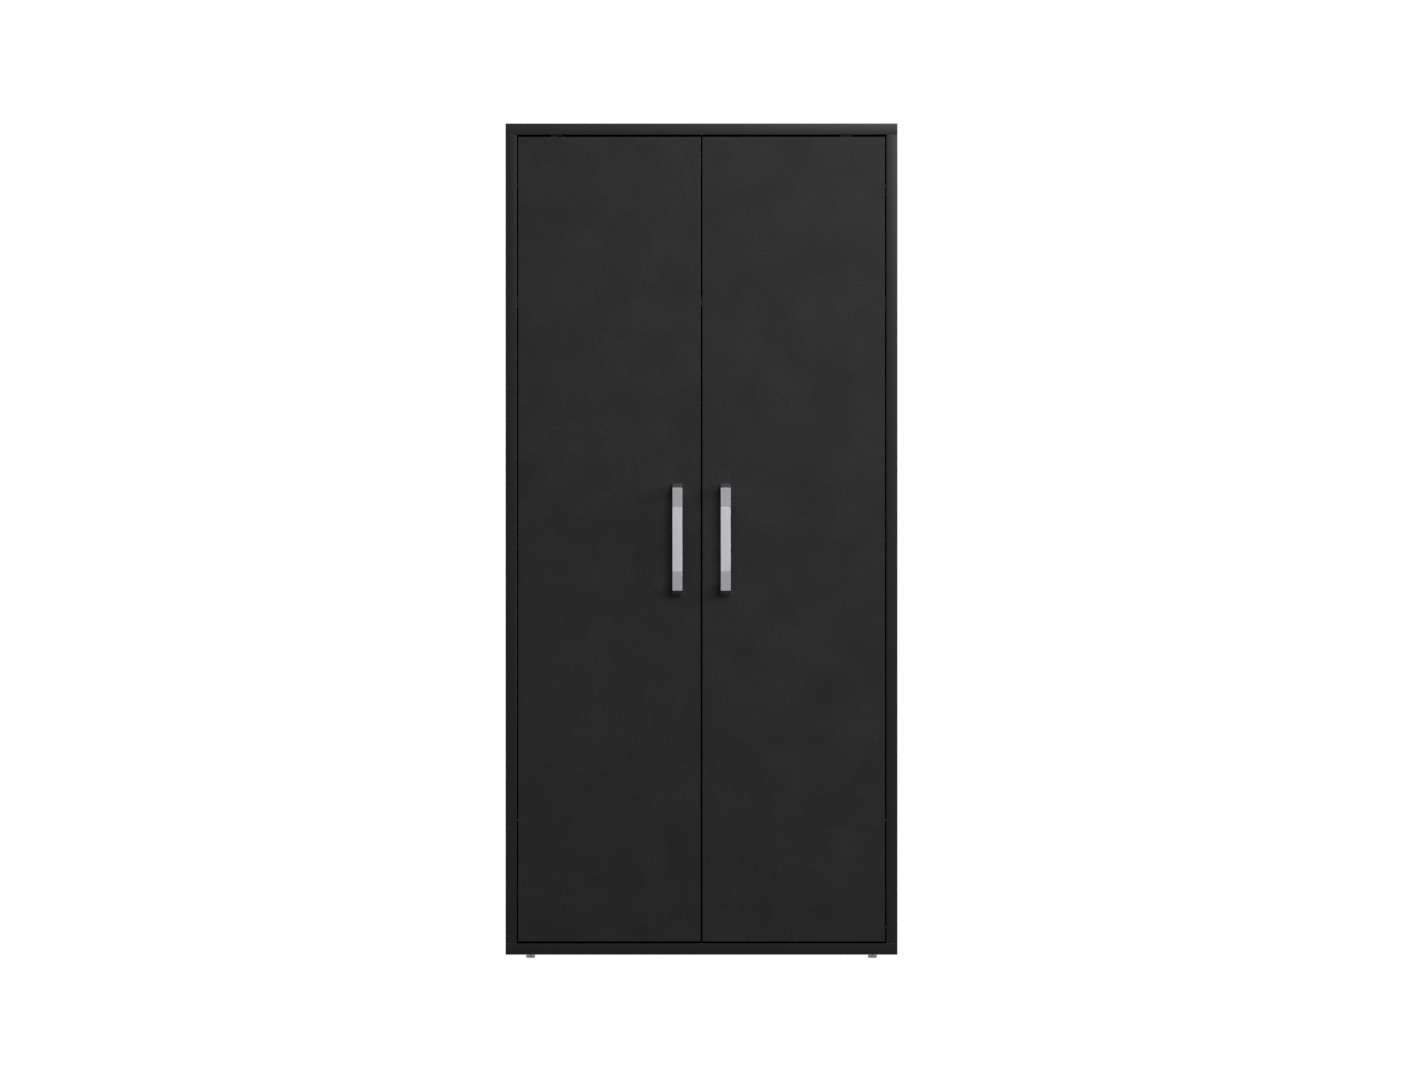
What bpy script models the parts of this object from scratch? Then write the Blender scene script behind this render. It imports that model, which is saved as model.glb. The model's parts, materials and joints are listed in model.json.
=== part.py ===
"""A wardrobe cabinet with two inset doors on concealed cup hinges.

Lengths are in metres and +Z is up. The doors face -Y. The origin is at the middle of the
footprint, on the floor.
"""
import math

import bmesh
import bpy
from mathutils import Matrix, Vector

MM = 0.001

# Carcass
WIDTH = 876 * MM
CARCASS_HEIGHT = 1858 * MM
CARCASS_DEPTH = 520 * MM
BOARD = 25 * MM
TOUCH = 0.3 * MM                 # left between pieces that rest on each other

# Doors, set in flush with the front edges of the boards
DOOR_THICKNESS = 18 * MM
DOOR_SIDE_GAP = 3 * MM
DOOR_CENTRE_GAP = 4 * MM
DOOR_TOP_GAP = 5 * MM
DOOR_BOTTOM_GAP = 4.5 * MM

# Back: two thin halves in grooves, joined by a strip of H section
BACK_THICKNESS = 3 * MM
BACK_INSET = 10 * MM             # from the rear edges to the back's rear face
GROOVE_DEPTH = 8 * MM
GROOVE_PLAY = 1 * MM             # left between the back's edges and the grooves' floors
STRIP_WIDTH = 24 * MM
STRIP_WALL = 1.2 * MM

# Feet: nail-on glides
FOOT_HEIGHT = 7 * MM
FOOT_RADIUS = 10 * MM
FOOT_EDGE = 3 * MM
FOOT_NAIL_RADIUS = 1.8 * MM
FOOT_NAIL_LENGTH = 14 * MM
FOOT_FROM_SIDE = 56 * MM
FOOT_FROM_EDGE = 45 * MM

# Fittings inside
SHELF_THICKNESS = 19 * MM
SHELF_SETBACK = 45 * MM          # from the front edges to the shelves' front edges
HAT_SPACE = 290 * MM             # from the hat shelf up to the top panel
LOWER_SPACE = 300 * MM           # from the bottom panel up to the lower shelf
LOWER_SHELF_PLAY = 1 * MM        # at each end
PIN_SHAFT_RADIUS = 2.5 * MM
PIN_SHAFT_LENGTH = 9 * MM
PIN_PEG_RADIUS = 3.5 * MM
PIN_PEG_LENGTH = 8 * MM
PIN_FROM_EDGE = 37 * MM
PIN_PITCH = 32 * MM
PIN_HOLES_EACH_WAY = 1           # spare holes above and below the pin
RAIL_WIDTH = 15 * MM
RAIL_HEIGHT = 30 * MM
RAIL_WALL = 1.2 * MM
RAIL_DROP = 62 * MM              # from the hat shelf down to the rail's middle
SOCKET_WALL = 2.5 * MM
SOCKET_DEPTH = 14 * MM
SOCKET_PLATE = 3 * MM
SOCKET_FLANGE = 9 * MM
SLIDE_FIT = 0.4 * MM
WALL_BRACKET_LEG = 30 * MM
WALL_BRACKET_WIDTH = 28 * MM
WALL_BRACKET_PLATE = 2 * MM
WALL_BRACKET_FROM_SIDE = 90 * MM

# Handles: a flat grip between two bent end pieces
HANDLE_FROM_CENTRE = 54 * MM
HANDLE_WIDTH = 22 * MM
HANDLE_LENGTH = 250 * MM
HANDLE_PROJECTION = 28 * MM
GRIP_LENGTH = 145 * MM
GRIP_THICKNESS = 8 * MM
HANDLE_SLOPE = 10 * MM           # how far the outer end leans in from the door to the front
HANDLE_POST = 26 * MM
HANDLE_BEND = 6.5 * MM           # inner radius where the post meets the grip's end
TENON_LENGTH = 10 * MM
TENON_WIDTH = 12 * MM
TENON_THICKNESS = 4 * MM
SCREW_RADIUS = 2 * MM
SCREW_DEPTH = 14 * MM            # into the handle's end piece

# Hinges
HINGE_FROM_END = 110 * MM        # from a door's end to the middle of its outer hinges
CUP_RADIUS = 17.2 * MM
CUP_EDGE = 3 * MM                # door left between its edge and the cup's recess
CUP_DEPTH = 13 * MM
CUP_FLOOR = 0.8 * MM
CUP_FLANGE = 0.8 * MM
CUP_RIM = 1.0 * MM               # how far the flange covers the door round the cup
CUP_WING = 26 * MM               # half the length of the wings
POCKET_WALL = 0.9 * MM
POCKET_HALF = 7.4 * MM
RUNNING_FIT = 0.3 * MM
INNER_FIT = 0.25 * MM
STUB_REACH = 1.5 * MM            # the outer link's stubs, into the cup's cheeks
WING_HALF = 6 * MM
WING_SHIFT = 6 * MM              # the screw wings' middle, from the cup's, away from the edge
ARM_KNEE = 16 * MM
PIVOT_RADIUS = 1.0 * MM
LINK_HALF = 1.9 * MM             # half the width of the outer link, and the radius of its ends
INNER_HALF = 1.7 * MM            # the same for the inner link at the arm
ARM_BAND = 2.5 * MM              # half the thickness of the arm
DRIFT = 1.55 * MM                # how far the inner link's free end strays from its pin
EYE_SHIFT = Vector((0.05, -0.2)) * MM    # the middle of that stray path, from the pin
EYE_WALL = 0.7 * MM
PLATE_LINK = (5.4 * MM, 6.8 * MM)    # the outer link's two plates, from the hinge's middle
INNER_LINK_HALF = 3.1 * MM
ARM_HALF = 5.0 * MM
ARM_SLOT_HALF = 3.5 * MM
LUG = (3.6 * MM, 4.9 * MM)
PLATE_LENGTH = 44 * MM
PLATE_HEIGHT = 52 * MM
PLATE_BASE = 2.2 * MM
PLATE_FROM_DOOR = 20 * MM        # from the door's back face to the mounting plate
ARM_END = 64 * MM                # from the door's back face to the arm's rear end
ARM_FROM_SIDE = 9.5 * MM         # from the side panel to the middle of the arm's rear part

# The hinge's pivots, measured from the middle of the cup's mouth: across the door, away
# from its hinge edge, and towards the back of the cabinet.
OUTER_ARM_PIVOT = Vector((10.8, 14.0)) * MM
OUTER_CUP_PIVOT = Vector((-11.8, -2.25)) * MM
OUTER_BEND = (Vector((10.9, 12.0)) * MM, Vector((-6.4, -16.1)) * MM)
INNER_ARM_PIVOT = Vector((9.05, -1.9)) * MM
INNER_CUP_PIVOT = Vector((-7.75, -5.2)) * MM
INNER_BEND = (Vector((11.1, -16.3)) * MM, Vector((-7.6, -5.3)) * MM)

# Places that follow from the sizes
HEIGHT = FOOT_HEIGHT + CARCASS_HEIGHT
FRONT = (HANDLE_PROJECTION - CARCASS_DEPTH) / 2
BACK = FRONT + CARCASS_DEPTH
INNER_X = WIDTH / 2 - BOARD
FLOOR = FOOT_HEIGHT + BOARD              # upper face of the bottom panel
CEILING = HEIGHT - BOARD                 # under face of the top panel
DOOR_BACK = FRONT + DOOR_THICKNESS
DOOR_LOW = FLOOR + DOOR_BOTTOM_GAP
DOOR_HIGH = CEILING - DOOR_TOP_GAP
DOOR_MIDDLE = (DOOR_LOW + DOOR_HIGH) / 2
DOOR_OUTER = INNER_X - DOOR_SIDE_GAP
DOOR_INNER = DOOR_CENTRE_GAP / 2
BACK_REAR = BACK - BACK_INSET
BACK_FACE = BACK_REAR - BACK_THICKNESS
SHELF_FRONT = FRONT + SHELF_SETBACK
SHELF_REAR = BACK_FACE - STRIP_WALL - 2 * TOUCH
HAT_SHELF_TOP = CEILING - HAT_SPACE
LOWER_SHELF_TOP = FLOOR + LOWER_SPACE
PIN_HEIGHT = LOWER_SHELF_TOP - SHELF_THICKNESS - TOUCH - PIN_PEG_RADIUS
RAIL_Y = (SHELF_FRONT + SHELF_REAR) / 2
RAIL_Z = HAT_SHELF_TOP - SHELF_THICKNESS - RAIL_DROP
HINGE_HEIGHTS = {
    "lower": DOOR_LOW + HINGE_FROM_END,
    "middle": DOOR_MIDDLE,
    "upper": DOOR_HIGH - HINGE_FROM_END,
}
POCKET_RADIUS = CUP_RADIUS - POCKET_WALL
HANDLE_SCREW = HANDLE_LENGTH / 2 - HANDLE_POST / 2
CUP_FROM_EDGE = CUP_EDGE + CUP_RADIUS + TOUCH

# Finish: colour, roughness, metallic
FINISHES = {
    "board": ((0.026, 0.026, 0.027), 0.55, 0.0),
    "hardboard": ((0.035, 0.035, 0.036), 0.7, 0.0),
    "aluminium": ((0.55, 0.55, 0.57), 0.35, 1.0),
    "satin_plated": ((0.38, 0.38, 0.40), 0.3, 1.0),
    "nickel": ((0.6, 0.59, 0.57), 0.25, 1.0),
    "steel": ((0.5, 0.5, 0.5), 0.3, 1.0),
    "plastic": ((0.03, 0.03, 0.03), 0.5, 0.0),
}

SMOOTH_BELOW = math.radians(35)  # edges that turn by less are shaded smooth

# Turns that carry a flat outline, drawn in X and Y and extruded along Z, to other planes
EXTRUDE_X = Matrix(((0, 0, 1, 0), (1, 0, 0, 0), (0, 1, 0, 0), (0, 0, 0, 1)))
EXTRUDE_Y = Matrix.Rotation(math.radians(90), 4, "X")
EXTRUDE_Z = Matrix.Identity(4)


def collection(name):
    made = bpy.data.collections.new(name)
    bpy.context.scene.collection.children.link(made)
    return made


for old in list(bpy.data.objects):
    bpy.data.objects.remove(old)
PARTS = collection("wardrobe")
CUTTERS = collection("wardrobe_cutters")


# Meshes

def finished(bm):
    bmesh.ops.recalc_face_normals(bm, faces=bm.faces)
    mesh = bpy.data.meshes.new("piece")
    bm.to_mesh(mesh)
    bm.free()
    return mesh


def box(low, high):
    """A box between two corners."""
    low, high = Vector(low), Vector(high)
    size = high - low
    bm = bmesh.new()
    bmesh.ops.create_cube(bm, size=1)
    bmesh.ops.transform(bm, verts=bm.verts, matrix=Matrix.LocRotScale((low + high) / 2, None, size))
    return finished(bm)


def rod(radius, start, end, turn=EXTRUDE_Z, at=(0, 0, 0), segments=12):
    """A cylinder along the direction that turn gives to Z, from start to end."""
    bm = bmesh.new()
    middle = Matrix.Translation((0, 0, (start + end) / 2))
    bmesh.ops.create_cone(bm, cap_ends=True, segments=segments, radius1=radius, radius2=radius,
                          depth=abs(end - start), matrix=Matrix.Translation(at) @ turn @ middle)
    return finished(bm)


def evaluated(obj):
    """The object's shape as a mesh with its loose seams merged. The object is removed."""
    bpy.context.view_layer.update()
    shape = obj.evaluated_get(bpy.context.evaluated_depsgraph_get())
    mesh = bpy.data.meshes.new_from_object(shape)
    mesh.transform(obj.matrix_world)
    bpy.data.objects.remove(obj)
    bm = bmesh.new()
    bm.from_mesh(mesh)
    bmesh.ops.remove_doubles(bm, verts=bm.verts, dist=0.001 * MM)
    return finished(bm)


def extruded(rings, low, high, turn=EXTRUDE_Z):
    """A flat outline, with any holes as further rings, extruded from low to high."""
    curve = bpy.data.curves.new("outline", "CURVE")
    curve.dimensions = "2D"
    curve.fill_mode = "BOTH"
    curve.extrude = (high - low) / 2
    for ring in rings:
        spline = curve.splines.new("POLY")
        spline.points.add(len(ring) - 1)
        for point, place in zip(spline.points, ring):
            point.co = (place[0], place[1], 0, 1)
        spline.use_cyclic_u = True
    obj = bpy.data.objects.new("outline", curve)
    CUTTERS.objects.link(obj)
    obj.matrix_world = turn @ Matrix.Translation((0, 0, (low + high) / 2))
    return evaluated(obj)


def turned(profile, turn=EXTRUDE_Z, segments=24):
    """A profile of (radius, height) points, from the top down its outer side, turned round Z."""
    mesh = bpy.data.meshes.new("profile")
    verts = [(radius, 0, height) for radius, height in profile]
    mesh.from_pydata(verts, [(i, i + 1) for i in range(len(verts) - 1)], [])
    obj = bpy.data.objects.new("profile", mesh)
    CUTTERS.objects.link(obj)
    screw = obj.modifiers.new("turn", "SCREW")
    screw.steps = screw.render_steps = segments
    screw.use_merge_vertices = True
    screw.merge_threshold = 0.01 * MM
    obj.matrix_world = turn
    return evaluated(obj)


def together(*meshes):
    """Several closed shapes in one mesh, for one Boolean."""
    bm = bmesh.new()
    for mesh in meshes:
        bm.from_mesh(mesh)
    return finished(bm)


# Outlines

def arc(centre, radius, start, end, steps):
    """Points round a centre, with angles in degrees."""
    turns = [math.radians(start + (end - start) * i / steps) for i in range(steps + 1)]
    return [(centre[0] + radius * math.cos(a), centre[1] + radius * math.sin(a)) for a in turns]


def oval(width, height, grow=0.0, steps=10):
    """An upright oval with round ends, grown on all sides."""
    radius = width / 2 + grow
    straight = (height - width) / 2
    return arc((0, straight), radius, 0, 180, steps) + arc((0, -straight), radius, 180, 360, steps)


def circle(centre, radius, steps=12):
    return arc(centre, radius, 0, 360, steps)[:-1]


def bezier(start, handle_a, handle_b, end, steps):
    """Points along a curve that leaves start towards handle_a and meets end from handle_b."""
    points = []
    for i in range(steps + 1):
        t = i / steps
        s = 1 - t
        points.append(start * s**3 + handle_a * 3 * t * s * s + handle_b * 3 * t * t * s + end * t**3)
    return points


def strip(path, half_start, half_end, steps=5):
    """A band with round ends along a path of points, which widens or narrows towards its end."""
    left, right = [], []
    last = len(path) - 1
    for i, point in enumerate(path):
        ahead = path[min(i + 1, last)] - path[max(i - 1, 0)]
        side = Vector((-ahead.y, ahead.x)).normalized()
        side *= half_start + (half_end - half_start) * (i / last)**3
        left.append(point + side)
        right.append(point - side)

    def cap(centre, first):
        turns = [Matrix.Rotation(-math.pi * k / steps, 2) for k in range(1, steps)]
        return [centre + turn @ (first - centre) for turn in turns]

    return left + cap(path[-1], left[-1]) + right[::-1] + cap(path[0], right[0])


# Objects

def material(name, finish):
    colour, roughness, metallic = FINISHES[finish]
    made = bpy.data.materials.new(name + "_" + finish)
    made.use_nodes = True
    shader = made.node_tree.nodes["Principled BSDF"]
    shader.inputs["Base Color"].default_value = (*colour, 1)
    shader.inputs["Roughness"].default_value = roughness
    shader.inputs["Metallic"].default_value = metallic
    made.diffuse_color = (*colour, 1)
    return made


def solid(name, mesh, finish, at=(0, 0, 0), pivot=None, smooth=False):
    """One piece. Its mesh is drawn round its own origin, which is put at a place in the world."""
    mesh.name = name
    if smooth:
        mesh.shade_smooth()
        mesh.set_sharp_from_angle(angle=SMOOTH_BELOW)
    obj = bpy.data.objects.new(name, mesh)
    PARTS.objects.link(obj)
    obj.data.materials.append(material(name, finish))
    obj.location = Vector(at)
    if pivot:
        obj.parent = pivot
        obj.location -= pivot.location
    return obj


def board(name, low, high, finish="board", pivot=None):
    """A flat board between two corners in the world, with its origin in its middle or on its pivot."""
    middle = pivot.location if pivot else (Vector(low) + Vector(high)) / 2
    return solid(name, box(Vector(low) - middle, Vector(high) - middle), finish, middle, pivot)


def change(obj, operation, *meshes, at=None):
    """Cuts meshes from an object or joins them to it. They are drawn round the object's own origin,
    or round a place in the world."""
    tool = bpy.data.objects.new(obj.name + "_" + operation.lower(), together(*meshes))
    CUTTERS.objects.link(tool)
    tool.hide_render = True
    tool.display_type = "WIRE"
    tool.parent = obj
    if at is not None:
        world = obj.location + (obj.parent.location if obj.parent else Vector())
        tool.location = Vector(at) - world
    step = obj.modifiers.new(operation.lower(), "BOOLEAN")
    step.operation = operation
    step.solver = "EXACT"
    step.object = tool


def cut(obj, *meshes, at=None):
    change(obj, "DIFFERENCE", *meshes, at=at)


def join(obj, *meshes, at=None):
    change(obj, "UNION", *meshes, at=at)


def axis(name, place):
    """An empty on a joint's axis."""
    obj = bpy.data.objects.new(name, None)
    obj.location = Vector((place[0], place[1], 0))
    PARTS.objects.link(obj)
    return obj


WORLD = (0, 0, 0)
SIDES = {"left": -1, "right": 1}


# Carcass

def groove(reach_x, low_z, high_z):
    """The groove that takes the back, as a box."""
    return box((-reach_x, BACK_FACE - TOUCH, low_z), (reach_x, BACK_REAR + TOUCH, high_z))


def foot_places():
    """Where the feet's nails stand."""
    x = WIDTH / 2 - FOOT_FROM_SIDE
    for side, sign in SIDES.items():
        yield f"foot_front_{side}", (sign * x, FRONT + FOOT_FROM_EDGE, 0)
        yield f"foot_rear_{side}", (sign * x, BACK - FOOT_FROM_EDGE, 0)


def make_carcass():
    half = WIDTH / 2
    reach = INNER_X + GROOVE_DEPTH
    top = board("top_panel", (-half, FRONT, CEILING), (half, BACK, HEIGHT))
    cut(top, groove(reach, CEILING - BOARD, CEILING + GROOVE_DEPTH), at=WORLD)
    bottom = board("bottom_panel", (-half, FRONT, FOOT_HEIGHT), (half, BACK, FLOOR))
    cut(bottom, groove(reach, FLOOR - GROOVE_DEPTH, FLOOR + BOARD), at=WORLD)
    nails = [rod(FOOT_NAIL_RADIUS + TOUCH, 0, FOOT_HEIGHT + FOOT_NAIL_LENGTH + TOUCH, at=place)
             for _, place in foot_places()]
    cut(bottom, *nails, at=WORLD)
    for side, sign in SIDES.items():
        low = (min(sign * half, sign * INNER_X), FRONT, FLOOR + TOUCH)
        high = (max(sign * half, sign * INNER_X), BACK, CEILING - TOUCH)
        panel = board(f"{side}_side_panel", low, high)
        cut(panel, groove(reach, FLOOR - BOARD, CEILING + BOARD), at=WORLD)
        cut(panel, *pin_holes(sign), at=WORLD)


def make_back():
    web = STRIP_WALL / 2
    arm = STRIP_WIDTH / 2
    front, rear = BACK_FACE - TOUCH, BACK_REAR + TOUCH
    half_section = [(arm, front - STRIP_WALL), (arm, front), (web, front),
                    (web, rear), (arm, rear), (arm, rear + STRIP_WALL)]
    section = half_section + [(-x, y) for x, y in reversed(half_section)]
    solid("back_joint_strip", extruded([section], FLOOR + TOUCH, CEILING - TOUCH), "plastic")
    sunk = GROOVE_DEPTH - GROOVE_PLAY
    for side, sign in SIDES.items():
        xs = sorted((sign * (web + TOUCH), sign * (INNER_X + sunk)))
        board(f"back_panel_{side}", (xs[0], BACK_FACE, FLOOR - sunk),
              (xs[1], BACK_REAR, CEILING + sunk), "hardboard")


def make_feet():
    top = FOOT_HEIGHT - TOUCH
    nail_top = top + FOOT_NAIL_LENGTH
    edge = arc((FOOT_RADIUS - FOOT_EDGE, FOOT_EDGE), FOOT_EDGE, 0, -90, 4)
    profile = [(0, nail_top), (FOOT_NAIL_RADIUS, nail_top), (FOOT_NAIL_RADIUS, top),
               (FOOT_RADIUS, top), *edge, (0, 0)]
    for name, place in foot_places():
        solid(name, turned(profile), "steel", place, smooth=True)


# Fittings inside

def pin_places(sign):
    """Where the lower shelf's two pins leave a side panel."""
    for end, y in (("front", SHELF_FRONT + PIN_FROM_EDGE), ("rear", SHELF_REAR - PIN_FROM_EDGE)):
        yield end, (sign * INNER_X, y, PIN_HEIGHT)


def pin_holes(sign):
    """The holes for the shelf pins in one side panel, with the spare ones above and below."""
    deep = PIN_SHAFT_LENGTH + TOUCH
    holes = []
    for _, (x, y, z) in pin_places(sign):
        for step in range(-PIN_HOLES_EACH_WAY, PIN_HOLES_EACH_WAY + 1):
            place = (x, y, z + step * PIN_PITCH)
            holes.append(rod(PIN_SHAFT_RADIUS + TOUCH, -sign * deep, sign * deep, EXTRUDE_X, place))
    return holes


def make_shelves():
    reach = INNER_X - TOUCH
    board("hat_shelf", (-reach, SHELF_FRONT, HAT_SHELF_TOP - SHELF_THICKNESS),
          (reach, SHELF_REAR, HAT_SHELF_TOP))
    reach = INNER_X - LOWER_SHELF_PLAY
    board("lower_shelf", (-reach, SHELF_FRONT, LOWER_SHELF_TOP - SHELF_THICKNESS),
          (reach, SHELF_REAR, LOWER_SHELF_TOP))
    profile = [(0, PIN_PEG_LENGTH), (PIN_PEG_RADIUS, PIN_PEG_LENGTH), (PIN_PEG_RADIUS, TOUCH),
               (PIN_SHAFT_RADIUS, TOUCH), (PIN_SHAFT_RADIUS, -PIN_SHAFT_LENGTH),
               (0, -PIN_SHAFT_LENGTH)]
    for side, sign in SIDES.items():
        inward = Matrix.Rotation(math.radians(-90 * sign), 4, "Y")
        for end, place in pin_places(sign):
            mesh = turned(profile, inward, segments=12)
            solid(f"shelf_pin_{end}_{side}", mesh, "nickel", place, smooth=True)


def make_rail():
    reach = INNER_X - TOUCH - SOCKET_PLATE - SLIDE_FIT
    inner = oval(RAIL_WIDTH - 2 * RAIL_WALL, RAIL_HEIGHT - 2 * RAIL_WALL)
    tube = extruded([oval(RAIL_WIDTH, RAIL_HEIGHT), inner], -reach, reach, EXTRUDE_X)
    solid("hanging_rail", tube, "nickel", (0, RAIL_Y, RAIL_Z), smooth=True)
    mouth = oval(RAIL_WIDTH, RAIL_HEIGHT, SLIDE_FIT)
    ring = [oval(RAIL_WIDTH, RAIL_HEIGHT, SLIDE_FIT + SOCKET_WALL), mouth]
    flange = [oval(RAIL_WIDTH, RAIL_HEIGHT, SLIDE_FIT + SOCKET_FLANGE)]
    for side, sign in SIDES.items():
        spans = sorted((-TOUCH * sign, -(TOUCH + SOCKET_PLATE) * sign))
        socket = solid(f"rail_socket_{side}", extruded(flange, *spans, EXTRUDE_X), "nickel",
                       (sign * INNER_X, RAIL_Y, RAIL_Z), smooth=True)
        spans = sorted((-(TOUCH + SOCKET_PLATE / 2) * sign, -SOCKET_DEPTH * sign))
        join(socket, extruded(ring, *spans, EXTRUDE_X))


def make_wall_brackets():
    leg, plate = WALL_BRACKET_LEG, WALL_BRACKET_PLATE
    section = [(0, 0), (-leg, 0), (-leg, -plate), (-plate, -plate), (-plate, -leg), (0, -leg)]
    half = WALL_BRACKET_WIDTH / 2
    for side, sign in SIDES.items():
        place = (sign * (INNER_X - WALL_BRACKET_FROM_SIDE), BACK_FACE - TOUCH, CEILING - TOUCH)
        solid(f"wall_bracket_{side}", extruded([section], -half, half, EXTRUDE_X), "nickel", place)


# Doors and handles

def cup_place(side, height):
    """The middle of a hinge cup's mouth, on the door's back face."""
    return (SIDES[side] * (DOOR_OUTER - CUP_FROM_EDGE), DOOR_BACK, height)


def handle_place(side):
    """The middle of a handle, on the door's front face."""
    return Vector((SIDES[side] * HANDLE_FROM_CENTRE, FRONT, DOOR_MIDDLE))


def make_door(side, pivot):
    xs = sorted((SIDES[side] * DOOR_OUTER, SIDES[side] * DOOR_INNER))
    door = board(f"{side}_door", (xs[0], FRONT, DOOR_LOW), (xs[1], DOOR_BACK, DOOR_HIGH), pivot=pivot)
    recess = CUP_RADIUS + TOUCH
    for height in HINGE_HEIGHTS.values():
        cut(door, rod(recess, -CUP_DEPTH, CUP_DEPTH, EXTRUDE_Y, segments=32), at=cup_place(side, height))
    holes = [rod(SCREW_RADIUS + TOUCH, -2 * DOOR_THICKNESS, DOOR_THICKNESS, EXTRUDE_Y, (0, 0, z))
             for z in (-HANDLE_SCREW, HANDLE_SCREW)]
    cut(door, *holes, at=handle_place(side))


def handle_end(sign):
    """An end piece: a post on the door, bent over to meet the grip. Its outer face leans in."""
    half = HANDLE_LENGTH / 2
    joint = GRIP_LENGTH / 2 + TOUCH
    under = HANDLE_PROJECTION - GRIP_THICKNESS
    corner = (under - HANDLE_BEND, half - HANDLE_POST - HANDLE_BEND)
    inner = arc(corner, HANDLE_BEND, 90, 0, 4)
    outline = [(HANDLE_PROJECTION, joint), (HANDLE_PROJECTION, half - HANDLE_SLOPE), (TOUCH, half),
               (TOUCH, half - HANDLE_POST), *inner, (under, joint)]
    outline = [(-out, sign * z) for out, z in outline]
    return extruded([outline], -HANDLE_WIDTH / 2, HANDLE_WIDTH / 2, EXTRUDE_X)


def tenon(fit):
    """The grip's tenons, as one bar through its middle."""
    out = HANDLE_PROJECTION - GRIP_THICKNESS / 2
    half = Vector((TENON_WIDTH / 2 + fit, TENON_THICKNESS / 2 + fit, GRIP_LENGTH / 2 + TENON_LENGTH + fit))
    middle = Vector((0, -out, 0))
    return box(middle - half, middle + half)


def make_handle(side, pivot):
    place = handle_place(side)
    half = HANDLE_WIDTH / 2
    under = HANDLE_PROJECTION - GRIP_THICKNESS
    grip = box((-half, -HANDLE_PROJECTION, -GRIP_LENGTH / 2), (half, -under, GRIP_LENGTH / 2))
    join(solid(f"{side}_handle_grip", grip, "aluminium", place, pivot), tenon(0))
    for end, sign in (("upper", 1), ("lower", -1)):
        piece = solid(f"{side}_handle_{end}_end", handle_end(sign), "satin_plated", place, pivot)
        cut(piece, tenon(TOUCH))
        hole = rod(SCREW_RADIUS, -SCREW_DEPTH, SCREW_DEPTH, EXTRUDE_Y, (0, 0, sign * HANDLE_SCREW))
        cut(piece, hole)


# Hinges

def hinge_place(side, point, height=0.0):
    """A point of the hinge in the world."""
    return Vector(cup_place(side, height)) + flipped(side, [point])[0].to_3d()


def flipped(side, points, origin=Vector((0, 0))):
    """Points round an origin, turned over for the right-hand side."""
    return [Vector((-SIDES[side] * (x - origin.x), y - origin.y)) for x, y in points]


def outer_link(side):
    """Two plates on one pin through the arm, with a stub each in the cup's cheeks."""
    path = bezier(OUTER_ARM_PIVOT, *OUTER_BEND, OUTER_CUP_PIVOT, 10)
    band = flipped(side, strip(path, LINK_HALF, LINK_HALF), OUTER_ARM_PIVOT)
    low, high = PLATE_LINK
    plates = together(extruded([band], low, high), extruded([band], -high, -low))
    middle = (low + high) / 2
    cup_pin = flipped(side, [OUTER_CUP_PIVOT], OUTER_ARM_PIVOT)[0].to_3d()
    reach = POCKET_HALF + STUB_REACH
    pins = [rod(PIVOT_RADIUS, -middle, middle),
            rod(PIVOT_RADIUS, middle, reach, at=cup_pin),
            rod(PIVOT_RADIUS, -reach, -middle, at=cup_pin)]
    return plates, pins


def inner_link(side):
    """A bar between the arm's cheeks. Its eye in the cup is wide enough for the end to stray."""
    path = bezier(INNER_ARM_PIVOT, *INNER_BEND, INNER_CUP_PIVOT + EYE_SHIFT, 12)
    eye = PIVOT_RADIUS + DRIFT
    band = flipped(side, strip(path, INNER_HALF, eye + EYE_WALL), INNER_ARM_PIVOT)
    far = flipped(side, [INNER_CUP_PIVOT + EYE_SHIFT], INNER_ARM_PIVOT)[0]
    holes = [circle((0, 0), PIVOT_RADIUS + INNER_FIT, 10), circle(far, eye, 14)]
    return extruded([band, *holes], -INNER_LINK_HALF, INNER_LINK_HALF)


def both_ways(make, low, high):
    """The same shape above and below the hinge's middle."""
    return [make(low, high), make(-high, -low)]


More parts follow.
